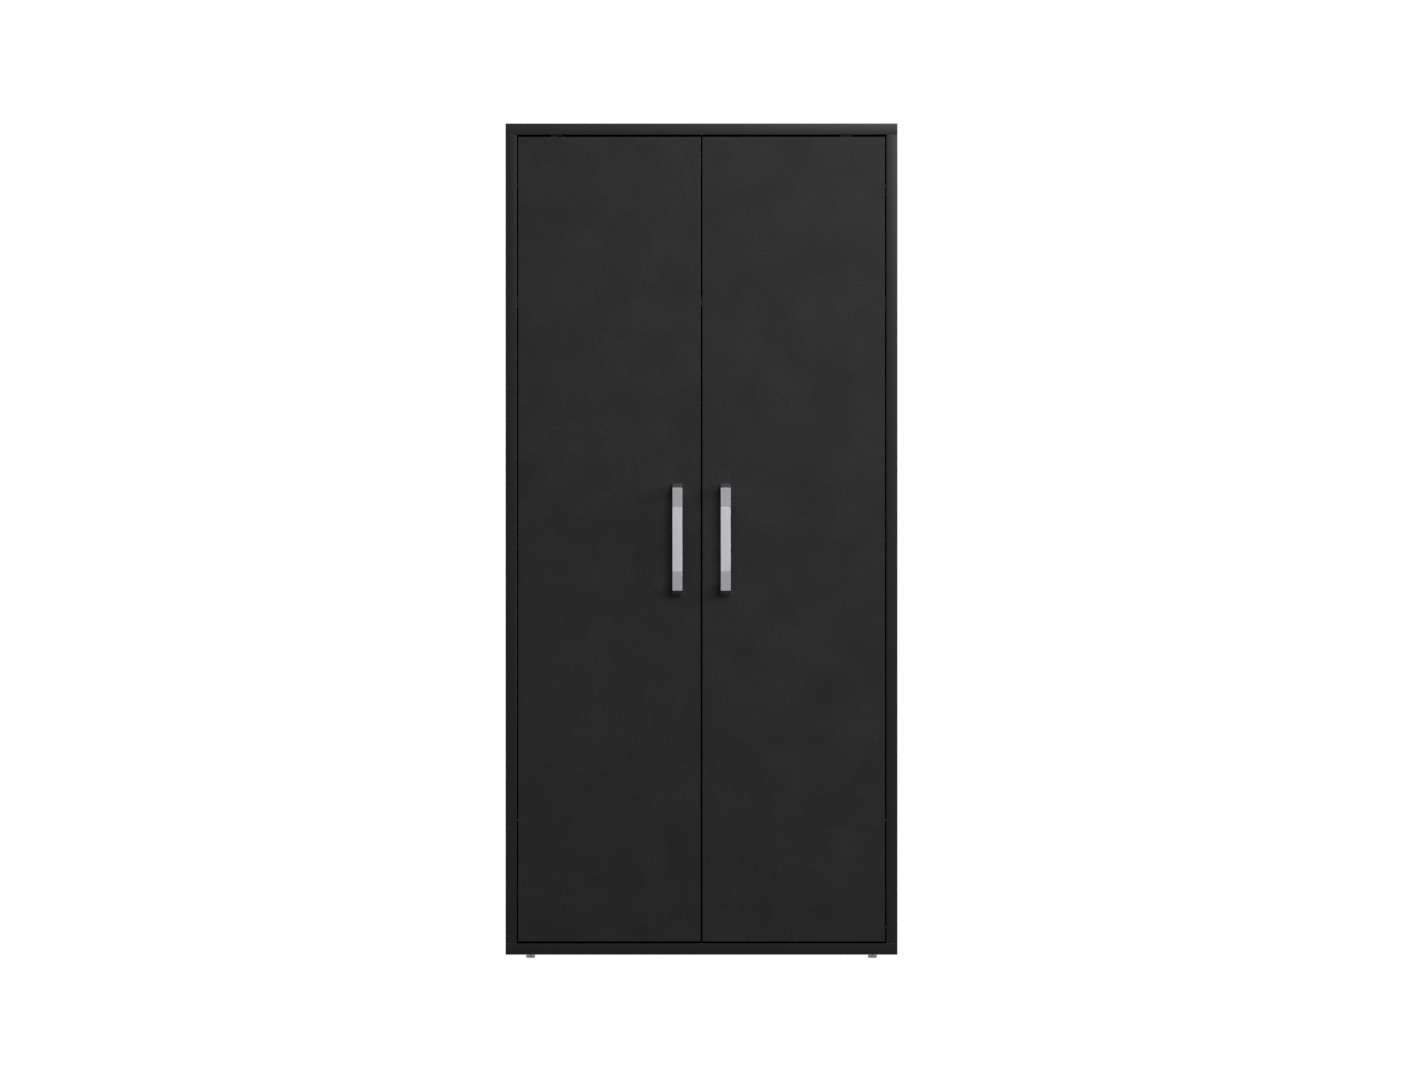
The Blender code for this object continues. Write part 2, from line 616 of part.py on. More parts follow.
def hinge_cup(side):
    """A turned cup with screw wings and a pocket. Two lugs in the pocket hold the inner link's
    pin, and its cheeks have holes for the outer link's stubs."""
    lip = TOUCH + CUP_FLANGE
    bottom = TOUCH - CUP_DEPTH
    rim = CUP_RADIUS + CUP_RIM
    profile = [(0, lip), (rim, lip), (rim, TOUCH), (CUP_RADIUS, TOUCH),
               (CUP_RADIUS, bottom), (0, bottom)]
    cup = turned(profile, Matrix.Rotation(math.radians(-90), 4, "X"), segments=32)
    ends = [Vector((-SIDES[side] * WING_SHIFT, z)) for z in (WING_HALF - CUP_WING, CUP_WING - WING_HALF)]
    wings = extruded([strip(ends, WING_HALF, WING_HALF)], -lip, -TOUCH - CUP_FLANGE / 8, EXTRUDE_Y)
    angle = math.degrees(math.asin(POCKET_HALF / POCKET_RADIUS))
    pocket = arc((0, 0), POCKET_RADIUS, -angle, angle, 6)
    pocket += arc((0, 0), POCKET_RADIUS, 180 - angle, 180 + angle, 6)
    floor = bottom + CUP_FLOOR
    hollow = extruded([pocket], -lip - CUP_FLANGE, -floor, EXTRUDE_Y)
    pin = flipped(side, [INNER_CUP_PIVOT])[0]
    lug = arc(pin, LINK_HALF, 0, 180, 6)
    lug += [(pin.x - LINK_HALF, floor - CUP_FLOOR / 2), (pin.x + LINK_HALF, floor - CUP_FLOOR / 2)]
    lugs = both_ways(lambda low, high: extruded([lug], low, high), *LUG)
    middle = sum(LUG) / 2
    bar = rod(PIVOT_RADIUS, -middle, middle, at=pin.to_3d())
    reach = POCKET_HALF + STUB_REACH + RUNNING_FIT
    outer = flipped(side, [OUTER_CUP_PIVOT])[0].to_3d()
    holes = rod(PIVOT_RADIUS + RUNNING_FIT, -reach, reach, at=outer)
    return cup, wings, hollow, lugs, bar, holes


def hinge_arm(side):
    """A cranked arm from the mounting plate past the outer link's pin to the inner link's pin.
    Its nose is slotted for the inner link."""
    across = ARM_FROM_SIDE - DOOR_SIDE_GAP - CUP_FROM_EDGE
    rear = Vector((across, ARM_END))
    knee = Vector((across, OUTER_ARM_PIVOT.y + ARM_KNEE))
    crank = (Vector((OUTER_ARM_PIVOT.x, OUTER_ARM_PIVOT.y + ARM_KNEE / 2)),
             Vector((across, OUTER_ARM_PIVOT.y)))
    path = [INNER_ARM_PIVOT] + bezier(OUTER_ARM_PIVOT, *crank, knee, 8) + [rear]
    band = flipped(side, strip(path, ARM_BAND, ARM_BAND), OUTER_ARM_PIVOT)
    ring = circle((0, 0), PIVOT_RADIUS + RUNNING_FIT)
    arm = extruded([band, ring], -ARM_HALF, ARM_HALF)
    nose = flipped(side, [INNER_ARM_PIVOT], OUTER_ARM_PIVOT)[0]
    clear = 2 * ARM_BAND
    slot = box((nose.x - clear, nose.y - clear, -ARM_SLOT_HALF),
               (nose.x + clear, nose.y + INNER_HALF + 2 * RUNNING_FIT, ARM_SLOT_HALF))
    middle = (ARM_SLOT_HALF + ARM_HALF) / 2
    bar = rod(PIVOT_RADIUS, -middle, middle, at=nose.to_3d(), segments=10)
    return arm, slot, bar


def mounting_plate(side):
    """A base with two screw wings on the side panel, and a rail for the arm. It is drawn from
    the panel's inner face."""
    start, end = PLATE_FROM_DOOR, PLATE_FROM_DOOR + PLATE_LENGTH
    middle = (start + end) / 2
    inward = -SIDES[side]

    def layer(low, high, y_low, y_high, half):
        xs = sorted((inward * low, inward * high))
        return box((xs[0], y_low, -half), (xs[1], y_high, half))

    top = TOUCH + PLATE_BASE
    base = layer(TOUCH, top, start, end, POCKET_HALF)
    wings = layer(TOUCH, top, middle - WING_HALF, middle + WING_HALF, PLATE_HEIGHT / 2)
    rail_top = ARM_FROM_SIDE - ARM_BAND - TOUCH
    rail = layer(top / 2, rail_top, start + PLATE_BASE, end - PLATE_BASE, ARM_HALF)
    return base, wings, rail


def make_hinges(side, door_pivot, outer_pivot, inner_pivot):
    for level, height in HINGE_HEIGHTS.items():
        name = f"{side}_{level}_hinge"
        cup, wings, hollow, lugs, bar, holes = hinge_cup(side)
        obj = solid(f"{name}_cup", cup, "nickel", cup_place(side, height), door_pivot, smooth=True)
        join(obj, wings)
        cut(obj, hollow)
        join(obj, *lugs)
        join(obj, bar)
        cut(obj, holes)
        plates, pins = outer_link(side)
        place = hinge_place(side, OUTER_ARM_PIVOT, height)
        join(solid(f"{name}_outer_link", plates, "steel", place, outer_pivot), *pins)
        arm, slot, bar = hinge_arm(side)
        obj = solid(f"{name}_arm", arm, "nickel", place)
        cut(obj, slot)
        join(obj, bar)
        place = hinge_place(side, INNER_ARM_PIVOT, height)
        solid(f"{name}_inner_link", inner_link(side), "steel", place, inner_pivot)
        base, wings, rail = mounting_plate(side)
        obj = solid(f"{name}_plate", base, "nickel", (SIDES[side] * INNER_X, DOOR_BACK, height))
        join(obj, wings)
        join(obj, rail)


make_carcass()
make_back()
make_feet()
make_shelves()
make_rail()
make_wall_brackets()
for a_side in SIDES:
    door_axis = axis(f"{a_side}_door_pivot", hinge_place(a_side, OUTER_CUP_PIVOT))
    outer_axis = axis(f"{a_side}_outer_link_pivot", hinge_place(a_side, OUTER_ARM_PIVOT))
    inner_axis = axis(f"{a_side}_inner_link_pivot", hinge_place(a_side, INNER_ARM_PIVOT))
    make_door(a_side, door_axis)
    make_handle(a_side, door_axis)
    make_hinges(a_side, door_axis, outer_axis, inner_axis)
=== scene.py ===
import json
import math

import bmesh
import bpy
from mathutils import Matrix, Vector

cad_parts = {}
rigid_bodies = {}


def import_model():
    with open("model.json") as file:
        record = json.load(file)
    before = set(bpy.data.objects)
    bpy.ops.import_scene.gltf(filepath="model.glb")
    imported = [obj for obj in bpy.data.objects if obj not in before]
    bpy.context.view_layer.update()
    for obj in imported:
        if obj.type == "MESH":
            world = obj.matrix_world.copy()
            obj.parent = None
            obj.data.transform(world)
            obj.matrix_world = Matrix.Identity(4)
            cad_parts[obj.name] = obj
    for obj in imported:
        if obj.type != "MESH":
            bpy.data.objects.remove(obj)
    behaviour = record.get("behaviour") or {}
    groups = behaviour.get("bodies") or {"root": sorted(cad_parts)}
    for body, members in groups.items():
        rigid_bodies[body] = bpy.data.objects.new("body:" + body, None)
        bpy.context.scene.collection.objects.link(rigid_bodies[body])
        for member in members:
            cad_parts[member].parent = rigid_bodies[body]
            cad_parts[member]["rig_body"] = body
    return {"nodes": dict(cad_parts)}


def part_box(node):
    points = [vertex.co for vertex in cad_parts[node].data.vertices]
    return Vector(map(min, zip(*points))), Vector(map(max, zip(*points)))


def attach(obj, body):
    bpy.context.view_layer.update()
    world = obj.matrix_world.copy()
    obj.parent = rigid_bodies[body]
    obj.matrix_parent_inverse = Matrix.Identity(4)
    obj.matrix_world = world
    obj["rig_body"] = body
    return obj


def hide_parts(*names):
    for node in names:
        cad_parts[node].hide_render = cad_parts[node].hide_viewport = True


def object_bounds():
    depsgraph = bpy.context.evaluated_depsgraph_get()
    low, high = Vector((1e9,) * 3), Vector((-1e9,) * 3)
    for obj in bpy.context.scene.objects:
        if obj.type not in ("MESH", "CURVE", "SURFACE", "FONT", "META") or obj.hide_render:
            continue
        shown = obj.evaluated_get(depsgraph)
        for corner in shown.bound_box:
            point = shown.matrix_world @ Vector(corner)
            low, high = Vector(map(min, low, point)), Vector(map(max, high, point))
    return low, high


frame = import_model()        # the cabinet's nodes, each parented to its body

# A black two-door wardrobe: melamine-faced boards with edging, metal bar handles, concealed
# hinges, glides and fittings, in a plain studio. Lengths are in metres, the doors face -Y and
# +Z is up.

MM = 0.001
CAD_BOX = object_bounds()
SIDES = {"left": -1, "right": 1}
LEVELS = ("lower", "middle", "upper")

# Places read from the frame
BOTTOM_BOARD, TOP_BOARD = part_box("bottom_panel"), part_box("top_panel")
FRONT, BACK = BOTTOM_BOARD[0].y, TOP_BOARD[1].y
BOTTOM, TOP = BOTTOM_BOARD[0].z, TOP_BOARD[1].z
FLOOR, CEILING = BOTTOM_BOARD[1].z, TOP_BOARD[0].z
INNER_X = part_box("right_side_panel")[0].x
SIDE_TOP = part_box("right_side_panel")[1].z
DOOR_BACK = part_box("right_door")[1].y
BACK_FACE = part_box("back_panel_left")[0].y

# Shaping
MERGE = 0.005 * MM               # corners closer than this are one
FLAT = math.radians(1)           # faces that turn by less than this are one
CORNER = math.radians(40)        # edges that turn by more than this are rounded
ROUND_SIDES = 48
SOFT_EDGE = 0.2 * MM             # on pressed steel
CAST_EDGE = 0.5 * MM             # on cast and extruded handle parts

# Boards
EDGING = 1.0 * MM                # thickness of the edging, and the radius of its corners
EDGE_DOME = 0.5 * MM             # how far its middle stands out on the carcass
DOME_STRIPS = 8
JOINT_LEFT = 0.02 * MM           # left open where a side panel meets the boards above and below
JOINT_CLOSED = CEILING - SIDE_TOP - JOINT_LEFT

# Hinges
NOSE_SLOPE = 3 * MM              # how far the front of a mounting plate slopes back
PLATE_FACE = 2.5 * MM            # from the side panel to the mounting plate's wings
ARM_FACE = 12 * MM               # from the side panel to the arm's face

# Raised screws with a cross drive. The sizes are shares of the hinge screw.
SCREW_RADIUS = 3.5 * MM
SCREW_PROUD = 0.5 * MM
SCREW_SUNK = 0.1 * MM            # in a cup's wings
SCREW_STEP = 0.3 * SCREW_RADIUS  # width of each step of the crown
SCREW_RISES = (0.5 * SCREW_PROUD, 0.25 * SCREW_PROUD)
SCREW_DRIVE = (SCREW_STEP, 1.15 * SCREW_RADIUS)      # width and length of each arm of the cross
SCREW_DRIVE_DEPTH = 0.9 * SCREW_PROUD
ARM_SCREW_SIZE = 0.75
HANDLE_SCREW_SIZE = 1.15
SOCKET_SCREW_SIZE = 0.7
WING_INSET = 6 * MM              # from the end of a hinge's wing to its screw
ARM_SCREWS = {"front": 24 * MM, "rear": 8 * MM}      # from the arm's rear end
HANDLE_SCREW_INSET = 13 * MM     # from a handle's outer end to its screw
SOCKET_SCREW_INSET = 3.2 * MM    # from a rail socket's end to its screw
SOCKET_FACE = 3.3 * MM           # from the side panel to a rail socket's flange
BRACKET_PLATE = 2 * MM

# Cam locks
CAM_RADIUS = 7.5 * MM
CAM_PROUD = 0.5 * MM
CAM_RIM = 0.8 * MM
CAM_SLOPE = 0.3 * MM
CAM_SUNK = 0.35 * MM             # the face inside the rim, and the drive in that face
CAM_DRIVE = (1.4 * MM, 7 * MM)   # width and length of each arm of the cross
CAM_FROM_END = 34 * MM           # the usual distance from a cam to the board's end
CAM_FROM_EDGE = 50 * MM

# Rail and glides
RAIL_WALL = 1.2 * MM
GLIDE_GAP = 0.3 * MM             # between a glide's cap and the bottom panel
GLIDE_EDGE = 3 * MM              # radius of the rolled lower edge
GLIDE_RIM = 0.8 * MM
GLIDE_SLOPE = 0.3 * MM
GLIDE_HOLLOW = 2.5 * MM
NAIL_RADIUS = 1.8 * MM

# Studio
FRAME_WIDTH = 3.136              # what the camera takes in from side to side
EYE_HEIGHT = 0.934
CAMERA_AWAY = 8
FLOOR_SIZE = 400
SURROUND = 0.31                  # strength of the soft light from all round
CENTRE = (0, FRONT, (BOTTOM + TOP) / 2)
SOFTBOXES = (                    # name, place, aim, width, height, power
    ("front_softbox", (1.3, -3.0, 2.6), CENTRE, 1.8, 1.4, 80),
    ("raking_softbox", (6.0, -1.75, 3.0), CENTRE, 1.5, 2.4, 350),
    ("top_softbox", (0, 0.2, 4.2), (0, 0.2, 0), 3.0, 3.0, 42),
    ("rear_softbox", (-1.8, 3.2, 4.4), (0, 0, 1), 2.4, 2.0, 130),
)


# Objects and selection

def only(obj):
    """Makes one object the active and only selected one."""
    bpy.ops.object.select_all(action="DESELECT")
    obj.select_set(True)
    bpy.context.view_layer.objects.active = obj


def edit(obj):
    """Opens an object in edit mode, with nothing selected."""
    only(obj)
    bpy.ops.object.mode_set(mode="EDIT")
    bpy.ops.mesh.select_mode(type="FACE")
    bpy.ops.mesh.select_all(action="DESELECT")


def done():
    bpy.ops.object.mode_set(mode="OBJECT")


def pick(obj, test, kind="faces"):
    """Selects only the faces or edges that pass a test."""
    mesh = bmesh.from_edit_mesh(obj.data)
    bpy.ops.mesh.select_all(action="DESELECT")
    for item in getattr(mesh, kind):
        if test(item):
            item.select_set(True)
    bmesh.update_edit_mesh(obj.data)


def middle(item):
    """The middle of a face or edge."""
    points = [v.co for v in item.verts]
    return sum(points, Vector()) / len(points)


def smooth(obj, angle=35):
    only(obj)
    bpy.ops.object.shade_smooth_by_angle(angle=math.radians(angle))


def bevel(obj, width, segments=2, chosen=None):
    """Rounds the corners, or only the chosen ones, and keeps the flat faces flat."""
    smooth(obj)
    step = obj.modifiers.new("rounded", "BEVEL")
    step.width = width
    step.segments = segments
    step.limit_method = "ANGLE"
    step.angle_limit = CORNER
    step.harden_normals = True
    if chosen:
        edit(obj)
        mesh = bmesh.from_edit_mesh(obj.data)
        weight = mesh.edges.layers.float.new("bevel_weight_edge")
        for edge in mesh.edges:
            edge[weight] = float(edge.calc_face_angle(0) > CORNER and chosen(edge))
        done()
        step.limit_method = "WEIGHT"
    bpy.ops.object.modifier_apply(modifier=step.name)


def painted(obj, *materials):
    obj.data.materials.clear()
    for material in materials:
        obj.data.materials.append(material)


def copied(node, name):
    """A new piece with a node's shape: its triangles merged and its flat faces made whole."""
    source = frame["nodes"][node]
    obj = bpy.data.objects.new(name, source.data.copy())
    bpy.context.scene.collection.objects.link(obj)
    edit(obj)
    bpy.ops.mesh.select_all(action="SELECT")
    bpy.ops.mesh.remove_doubles(threshold=MERGE)
    bpy.ops.mesh.customdata_custom_splitnormals_clear()
    bpy.ops.mesh.dissolve_limited(angle_limit=FLAT)
    done()
    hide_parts(node)
    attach(obj, source["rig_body"])
    return obj


def repeated(master, name, place, body, turn=Matrix.Identity(4), size=1.0):
    """A copy of a small part, with its own mesh, at a place."""
    obj = bpy.data.objects.new(name, master.data.copy())
    obj.data.transform(Matrix.Translation(place) @ turn @ Matrix.Scale(size, 4))
    bpy.context.scene.collection.objects.link(obj)
    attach(obj, body)
    return obj


def facing(direction):
    """The turn that points a part drawn facing +Z another way."""
    return Vector(direction).to_track_quat("Z", "Y").to_matrix().to_4x4()


# Materials

def colour(code):
    """An sRGB hex colour as linear RGBA."""
    parts = [int(code[i:i + 2], 16) / 255 for i in (1, 3, 5)]
    linear = [p / 12.92 if p <= 0.04045 else ((p + 0.055) / 1.055) ** 2.4 for p in parts]
    return (*linear, 1)


NOISE_SPAN = {"From Min": 0.3, "From Max": 0.7}      # where nearly all of a noise lies


def per_metre(size_mm):
    """The scale of a pattern on Object coordinates whose features are this many mm wide."""
    return 1000 / size_mm


def add(owner, kind, inputs, **settings):
    """Adds a node to a material or world. An input takes a value, or a (node, output) pair to
    link from."""
    tree = owner.node_tree
    made = tree.nodes.new("ShaderNode" + kind)
    for key, value in settings.items():
        setattr(made, key, value)
    for key, value in inputs.items():
        if isinstance(value, tuple) and isinstance(value[0], bpy.types.Node):
            tree.links.new(value[0].outputs[value[1]], made.inputs[key])
        else:
            made.inputs[key].default_value = value
    return made


def blank(name):
    """A material with nothing in it but its output."""
    made = bpy.data.materials.new(name)
    made.use_nodes = True
    made.node_tree.nodes.clear()
    return made


def close(material, surface):
    add(material, "OutputMaterial", {"Surface": (surface, 0)}, name="output")
    return material


def melamine():
    """Matt black melamine paper pressed on chipboard: nearly even, with a faint cloudiness
    and a fine pearl emboss that breaks up the sheen. The emboss is drawn coarser than it is,
    so that it shows."""
    m = blank("melamine_matt_black")
    place = add(m, "TexCoord", {})
    cloud = add(m, "TexNoise", {"Vector": (place, "Object"), "Scale": per_metre(90), "Detail": 4.0,
                                "Roughness": 0.6})
    fleck = add(m, "TexNoise", {"Vector": (place, "Object"), "Scale": per_metre(6), "Detail": 2.0})
    mixed = add(m, "Math", {0: (cloud, 0), 1: (fleck, 0)}, operation="MULTIPLY")
    spread = add(m, "MapRange", {"Value": (mixed, 0), "From Min": 0.15, "From Max": 0.37})
    tone = add(m, "Mix", {0: (spread, 0), 6: colour("#202021"), 7: colour("#272728")},
               data_type="RGBA")
    gloss = add(m, "MapRange", {"Value": (cloud, 0), **NOISE_SPAN,
                                "To Min": 0.54, "To Max": 0.58})
    pearl = add(m, "TexNoise", {"Vector": (place, "Object"), "Scale": per_metre(1.6), "Detail": 1.0})
    bump = add(m, "Bump", {"Height": (pearl, 0), "Strength": 0.25, "Distance": 0.15 * MM})
    return close(m, add(m, "BsdfPrincipled", {
        "Base Color": (tone, 2), "Roughness": (gloss, 0), "Normal": (bump, 0),
        "Specular IOR Level": 0.12, "IOR": 1.5}))


def edging():
    """Black ABS edging, extruded and planed: darker and shinier than the faces, with the faint
    ripple that the scraper leaves."""
    m = blank("abs_edging_black")
    place = add(m, "TexCoord", {})
    ripple = add(m, "TexNoise", {"Vector": (place, "Object"), "Scale": per_metre(3), "Detail": 2.0})
    tone = add(m, "Mix", {0: (ripple, 0), 6: colour("#101011"), 7: colour("#161617")},
               data_type="RGBA")
    gloss = add(m, "MapRange", {"Value": (ripple, 0), "To Min": 0.31, "To Max": 0.38})
    bump = add(m, "Bump", {"Height": (ripple, 0), "Strength": 0.12, "Distance": 0.1 * MM})
    return close(m, add(m, "BsdfPrincipled", {
        "Base Color": (tone, 2), "Roughness": (gloss, 0), "Normal": (bump, 0),
        "Specular IOR Level": 0.32, "IOR": 1.5}))


def hardboard_face():
    """Thin hardboard with a dark lacquered face: flat, dull and slightly uneven."""
    m = blank("hardboard_lacquered")
    place = add(m, "TexCoord", {})
    cloud = add(m, "TexNoise", {"Vector": (place, "Object"), "Scale": per_metre(25), "Detail": 5.0})
    tone = add(m, "Mix", {0: (cloud, 0), 6: colour("#1e1e1f"), 7: colour("#2a2a2b")},
               data_type="RGBA")
    bump = add(m, "Bump", {"Height": (cloud, 0), "Strength": 0.15, "Distance": 0.3 * MM})
    return close(m, add(m, "BsdfPrincipled", {
        "Base Color": (tone, 2), "Roughness": 0.62, "Normal": (bump, 0),
        "Specular IOR Level": 0.35}))


def hardboard_rear():
    """The raw rear of hardboard: brown pressed wood fibre, even in tone, with dark specks and a
    fibrous roughness. The fibres are drawn coarser than they are, or they wouldn't show."""
    m = blank("hardboard_raw")
    place = add(m, "TexCoord", {})
    fibre = add(m, "TexNoise", {"Vector": (place, "Object"), "Scale": per_metre(5), "Detail": 8.0,
                                "Roughness": 0.7, "Distortion": 1.5})
    cloud = add(m, "TexNoise", {"Vector": (place, "Object"), "Scale": per_metre(260), "Detail": 2.0})
    faint = add(m, "MapRange", {"Value": (cloud, 0), "To Min": 0.3, "To Max": 0.5})
    both = add(m, "Math", {0: (fibre, 0), 1: (faint, 0)}, operation="ADD")
    spread = add(m, "MapRange", {"Value": (both, 0), "From Min": 0.6, "From Max": 1.2})
    tone = add(m, "Mix", {0: (spread, 0), 6: colour("#4a3829"), 7: colour("#6f563f")},
               data_type="RGBA")
    bump = add(m, "Bump", {"Height": (fibre, 0), "Strength": 0.3, "Distance": 0.3 * MM})
    return close(m, add(m, "BsdfPrincipled", {
        "Base Color": (tone, 2), "Roughness": 0.82, "Normal": (bump, 0),
        "Specular IOR Level": 0.3}))


def drawn_plastic():
    """Extruded black PVC: smooth, with faint die lines along its length."""
    m = blank("pvc_extruded_black")
    place = add(m, "TexCoord", {})
    stretch = add(m, "Mapping", {"Vector": (place, "Object"),
                                 "Scale": (per_metre(1.5), per_metre(1.5), per_metre(300))})
    lines = add(m, "TexNoise", {"Vector": (stretch, 0), "Scale": 1.0, "Detail": 2.0})
    tone = add(m, "Mix", {0: (lines, 0), 6: colour("#191919"), 7: colour("#232323")},
               data_type="RGBA")
    bump = add(m, "Bump", {"Height": (lines, 0), "Strength": 0.2, "Distance": 0.1 * MM})
    return close(m, add(m, "BsdfPrincipled", {
        "Base Color": (tone, 2), "Roughness": 0.42, "Normal": (bump, 0)}))


def brushed_metal(name, dark, light, rough, across_mm, along_mm, axis):
    """A metal with grain: the grain is fine across and long along one axis. It is drawn coarser
    than it is, so that it shows."""
    m = blank(name)
    place = add(m, "TexCoord", {})
    scale = [per_metre(across_mm)] * 3
    scale["XYZ".index(axis)] = per_metre(along_mm)
    stretch = add(m, "Mapping", {"Vector": (place, "Object"), "Scale": scale})
    grain = add(m, "TexNoise", {"Vector": (stretch, 0), "Scale": 1.0, "Detail": 3.0})
    tone = add(m, "Mix", {0: (grain, 0), 6: colour(dark), 7: colour(light)}, data_type="RGBA")
    gloss = add(m, "MapRange", {"Value": (grain, 0), **NOISE_SPAN,
                                "To Min": rough - 0.04, "To Max": rough + 0.05})
    bump = add(m, "Bump", {"Height": (grain, 0), "Strength": 0.1, "Distance": 0.05 * MM})
    return close(m, add(m, "BsdfPrincipled", {
        "Base Color": (tone, 2), "Metallic": 1.0, "Roughness": (gloss, 0), "Normal": (bump, 0)}))


def plated_metal(name, dark, light, rough, grain_mm):
    """A metal with an even plated skin: small soft changes of tone and gloss."""
    m = blank(name)
    place = add(m, "TexCoord", {})
    skin = add(m, "TexNoise", {"Vector": (place, "Object"), "Scale": per_metre(grain_mm),
                               "Detail": 3.0})
    tone = add(m, "Mix", {0: (skin, 0), 6: colour(dark), 7: colour(light)}, data_type="RGBA")
    gloss = add(m, "MapRange", {"Value": (skin, 0), **NOISE_SPAN,
                                "To Min": rough * 0.85, "To Max": rough * 1.2})
    bump = add(m, "Bump", {"Height": (skin, 0), "Strength": 0.06, "Distance": 0.05 * MM})
    return close(m, add(m, "BsdfPrincipled", {
        "Base Color": (tone, 2), "Metallic": 1.0, "Roughness": (gloss, 0), "Normal": (bump, 0)}))


def studio_floor():
    """A pale matt studio floor, lit a little from below so that it stays pale far away."""
    m = blank("studio_floor_pale")
    return close(m, add(m, "BsdfPrincipled", {
        "Base Color": colour("#bababa"), "Roughness": 0.9, "Specular IOR Level": 0.1,
        "Emission Color": (1, 1, 1, 1), "Emission Strength": 0.45}))


MELAMINE = melamine()
ABS_EDGING = edging()
HARDBOARD = hardboard_face()
HARDBOARD_REAR = hardboard_rear()
PVC = drawn_plastic()
# Satin anodised aluminium, brushed along the grip: light, cool and even
ANODISED = brushed_metal("aluminium_satin_anodised", "#e6e7eb", "#eeeff3", 0.36, 0.6, 60, "Z")
# Satin nickel on a zinc casting: a tone darker than the grip
SATIN_PLATE = plated_metal("zinc_casting_satin_plated", "#c9c9cf", "#d2d2d8", 0.33, 1.2)
# Nickel-plated pressed steel: bright, slightly warm
NICKEL = plated_metal("steel_nickel_plated", "#b0aca5", "#c6c3bd", 0.2, 9)
# Zinc-plated steel: greyer and duller than nickel
ZINC = plated_metal("steel_zinc_plated", "#8f9193", "#aaacad", 0.34, 4)
# Polished steel of the glides
POLISHED = plated_metal("steel_polished", "#b8b9bb", "#d0d1d2", 0.1, 6)


# Boards

def dome(obj, axis):
    """Rolls the front edging of a board slightly, so that its middle stands out."""
    edge_y = min(v.co.y for v in obj.data.vertices)
    points = [v.co[axis] for v in obj.data.vertices]
    low, high = min(points), max(points)
    direction = Vector()
    direction[axis] = 1
    edit(obj)
    for k in range(1, DOME_STRIPS):
        pick(obj, lambda f: middle(f).y < edge_y + SOFT_EDGE)
        place = direction * (low + (high - low) * k / DOME_STRIPS)
        bpy.ops.mesh.bisect(plane_co=place, plane_no=direction)
    done()
    for v in obj.data.vertices:
        if v.co.y < edge_y + SOFT_EDGE:
            share = 2 * (v.co[axis] - low) / (high - low) - 1
            v.co.y += EDGE_DOME * share * share


def close_joints(obj):
    """Carries a side panel's ends to the boards above and below, so that no light shows between."""
    heights = [v.co.z for v in obj.data.vertices]
    low, high = min(heights), max(heights)
    for v in obj.data.vertices:
        if v.co.z < low + SOFT_EDGE:
            v.co.z -= JOINT_CLOSED
        elif v.co.z > high - SOFT_EDGE:
            v.co.z += JOINT_CLOSED


def edged_board(node, name, across, domed, banded_ends=False):
    """A board with edging on its front edge, and on its ends if they show. Across is the axis of
    its thickness. Its edging is rounded along the board, and square where it meets a neighbour."""
    obj = copied(node, name)
    low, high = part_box(node)
    if across == 0:
        close_joints(obj)
    if domed:
        dome(obj, across)

    def past_ends(place, margin):
        return banded_ends and not low.x + margin < place.x < high.x - margin

    def rounded(edge):
        place = middle(edge)
        at_side = not low[across] + EDGING < place[across] < high[across] - EDGING
        at_front = place.y < low.y + EDGING and (at_side or banded_ends)
        return at_front or past_ends(place, SOFT_EDGE)

    bevel(obj, EDGING, 3, rounded)
    painted(obj, MELAMINE, ABS_EDGING)
    for face in obj.data.polygons:
        at_front = face.center.y < low.y + EDGING
        face.material_index = int(at_front or past_ends(face.center, EDGING))
    return obj


def door_board(node, name):
    """A door with edging on its four narrow sides, which shows as a fine border on its faces."""
    obj = copied(node, name)
    low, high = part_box(node)
    bevel(obj, EDGING, 3)
    painted(obj, MELAMINE, ABS_EDGING)
    for face in obj.data.polygons:
        inside = all(low[a] + EDGING < face.center[a] < high[a] - EDGING for a in (0, 2))
        face.material_index = int(not inside)
    return obj


def make_boards():
    for place in ("top", "bottom"):
        edged_board(f"{place}_panel", f"{place}_board", 2, True, banded_ends=True)
    for place in SIDES:
        edged_board(f"{place}_side_panel", f"{place}_side_board", 0, True)
    for place in ("hat", "lower"):
        edged_board(f"{place}_shelf", f"{place}_shelf_board", 2, False)
    for side in SIDES:
        door_board(f"{side}_door", f"{side}_door_board")


def make_back():
    """The thin halves keep their shape. Their rear faces are raw."""
    for side in SIDES:
        obj = frame["nodes"][f"back_panel_{side}"]
        painted(obj, HARDBOARD, HARDBOARD_REAR)
        for face in obj.data.polygons:
            face.material_index = int(face.normal.y > 0.5)
    painted(frame["nodes"]["back_joint_strip"], PVC)


# Handles

def make_handles():
    for side in SIDES:
        grip = copied(f"{side}_handle_grip", f"{side}_grip_bar")
        bevel(grip, CAST_EDGE, 3)
        painted(grip, ANODISED)
        for end in ("upper", "lower"):
            piece = copied(f"{side}_handle_{end}_end", f"{side}_{end}_handle_post")
            bevel(piece, CAST_EDGE, 3)
            painted(piece, SATIN_PLATE)


# Small parts, modelled once facing +Z with their seat at the origin

